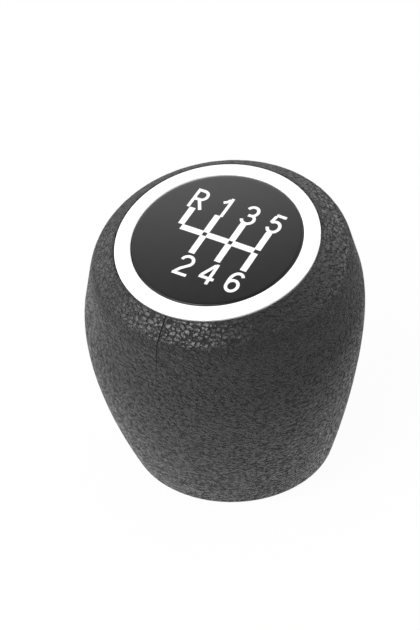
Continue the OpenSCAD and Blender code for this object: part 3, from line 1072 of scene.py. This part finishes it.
class KnobStageSettings(bpy.types.PropertyGroup):
    """Camera, key light, world and floor"""
    azimuth: bpy.props.FloatProperty(
        name="Azimuth",
        description="Turn of the camera round the knob",
        unit="ROTATION", default=math.radians(30.69))
    elevation: bpy.props.FloatProperty(
        name="Elevation",
        description="Height of the camera's view",
        unit="ROTATION", default=math.radians(38.51))
    roll: bpy.props.FloatProperty(
        name="Roll",
        description="Turn of the camera about its own view",
        unit="ROTATION", default=math.radians(-2.13))
    distance: bpy.props.FloatProperty(
        name="Distance",
        description="From the camera to the point it looks at",
        unit="LENGTH", default=418.84 * MM)
    aim_right: bpy.props.FloatProperty(
        name="Aim right",
        description="Point looked at, right of the base's middle",
        unit="LENGTH", default=-4.95 * MM)
    aim_up: bpy.props.FloatProperty(
        name="Aim up",
        description="Point looked at, above the base's middle in the picture",
        unit="LENGTH", default=23.36 * MM)
    scale: bpy.props.FloatProperty(
        name="Scale",
        description="Pixels for each millimetre at that point",
        default=5.04)
    world_level: bpy.props.FloatProperty(
        name="World",
        description="Even level of light added to the soft lights",
        default=0.03)
    key_power: bpy.props.FloatProperty(
        name="Key power",
        description="Power of the main light in watts",
        default=1.1)
    key_size: bpy.props.FloatProperty(
        name="Key size",
        description="Side of the main light's square",
        unit="LENGTH", default=0.25)
    key_distance: bpy.props.FloatProperty(
        name="Key distance",
        description="From the main light to the knob",
        unit="LENGTH", default=0.5)
    floor_white: bpy.props.FloatProperty(
        name="Floor white",
        description="Share of plain white that the camera sees in the floor",
        default=0.95)
    floor_color: bpy.props.FloatVectorProperty(
        name="Floor",
        description="Colour of the floor",
        subtype="COLOR", size=3, default=(0.9, 0.9, 0.9))


# Operators

class KNOB_OT_grip(bpy.types.Operator):
    """Builds the grained grip over its smooth solid"""
    bl_idname = "knob.grip"
    bl_label = "Grained grip"

    def execute(self, context):
        settings = context.scene.knob_grip
        rows, parting = grip_mesh(settings)
        faces = grid_faces(rows.shape[0], rows.shape[1])
        grip = new_object("grip_grained", rows.reshape(-1, 3), faces, grip_material(settings))
        attribute = grip.data.attributes.new("parting", "FLOAT", "POINT")
        attribute.data.foreach_set("value", parting.astype(np.float32).ravel())
        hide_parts("grip_moulding")
        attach(grip, "root")
        return {"FINISHED"}


class KNOB_OT_ring(bpy.types.Operator):
    """Turns the bright trim ring with its skirt and barbs"""
    bl_idname = "knob.ring"
    bl_label = "Trim ring"

    def execute(self, context):
        settings = context.scene.knob_top
        body = turned_body(ring_profile(), settings.columns)
        leg = (SKIRT_OUT - BARB_LEG, SKIRT_OUT - BARB_SINK, SKIRT_LOW + BARB_H, SKIRT_LOW + BARB_SINK)
        verts, faces = joined([body, *hook_parts(*leg, BARB_TURNS)])
        ring = new_object("ring_bright", on_disc(verts), faces, ring_material(settings))
        sharpen(ring)
        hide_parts("trim_ring")
        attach(ring, "root")
        return {"FINISHED"}


class KNOB_OT_cap(bpy.types.Operator):
    """Turns the domed cap and lays the painted shift pattern on it"""
    bl_idname = "knob.cap"
    bl_label = "Pattern cap"

    def execute(self, context):
        settings = context.scene.knob_top
        body = turned_body(cap_profile(), settings.columns)
        leg = (HOOK_R - HOOK_LEG, HOOK_R, CAP_FLOOR_Z / 2, HOOK_LOW_Z)
        verts, faces = joined([body, *hook_parts(*leg, HOOK_TURNS)])
        cap = new_object("cap_gloss", on_disc(verts), faces, cap_material(settings))
        sharpen(cap)
        verts, faces = joined(pattern_slabs(settings.print_lift / MM))
        paint = print_material(settings)
        pattern = new_object("pattern_paint", on_disc(verts), faces, paint, smooth=False)
        for piece in (cap, pattern):
            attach(piece, "root")
        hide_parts("pattern_cap")
        return {"FINISHED"}


class KNOB_OT_inside(bpy.types.Operator):
    """Gives the core, bush and clip their finishes"""
    bl_idname = "knob.inside"
    bl_label = "Core and bush"

    def execute(self, context):
        nylon = moulded_material("core_black_nylon", (0.03, 0.03, 0.032), roughness=0.55)
        acetal = moulded_material("bush_natural_acetal", (0.62, 0.6, 0.55), roughness=0.4, grain_mm=0.4)
        finishes = {"grip_core": nylon, "lever_bush": acetal, "spring_clip": wire_material()}
        for node, material in finishes.items():
            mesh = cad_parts[node].data
            mesh.materials.clear()
            mesh.materials.append(material)
        return {"FINISHED"}


class KNOB_OT_stage(bpy.types.Operator):
    """Sets the camera, the soft lights, the floor and the key light"""
    bl_idname = "knob.stage"
    bl_label = "Studio"

    def execute(self, context):
        settings = context.scene.knob_stage
        place_camera(settings)
        soft_world(settings)
        pale_floor(settings)
        key_light(settings)
        return {"FINISHED"}


class KNOB_PT_panel(bpy.types.Panel):
    """Lists the knob's pieces and settings"""
    bl_idname = "KNOB_PT_panel"
    bl_label = "Shift Knob"
    bl_space_type = "VIEW_3D"
    bl_region_type = "UI"
    bl_category = "Shift Knob"

    def draw(self, context):
        for operator in STEPS:
            self.layout.operator(operator.bl_idname)
        for name in SETTINGS:
            group = getattr(context.scene, name)
            for key in group.__annotations__:
                self.layout.prop(group, key)


STEPS = (KNOB_OT_grip, KNOB_OT_ring, KNOB_OT_cap, KNOB_OT_inside, KNOB_OT_stage)
SETTINGS = {"knob_grip": KnobGripSettings, "knob_top": KnobTopSettings, "knob_stage": KnobStageSettings}


def register():
    """Makes the classes known, and puts each group of settings on the scene."""
    for cls in (*SETTINGS.values(), *STEPS, KNOB_PT_panel):
        bpy.utils.register_class(cls)
    for name, group in SETTINGS.items():
        setattr(bpy.types.Scene, name, bpy.props.PointerProperty(type=group))


def unregister():
    """Takes the settings and the classes away again, in the opposite order."""
    for name in SETTINGS:
        delattr(bpy.types.Scene, name)
    for cls in reversed((*SETTINGS.values(), *STEPS, KNOB_PT_panel)):
        bpy.utils.unregister_class(cls)


def main():
    """Builds the pieces in order."""
    register()
    bpy.context.scene.view_settings.view_transform = "Standard"
    bpy.ops.knob.grip()
    bpy.ops.knob.ring()
    bpy.ops.knob.cap()
    bpy.ops.knob.inside()
    bpy.ops.knob.stage()


if __name__ == "__main__":
    main()
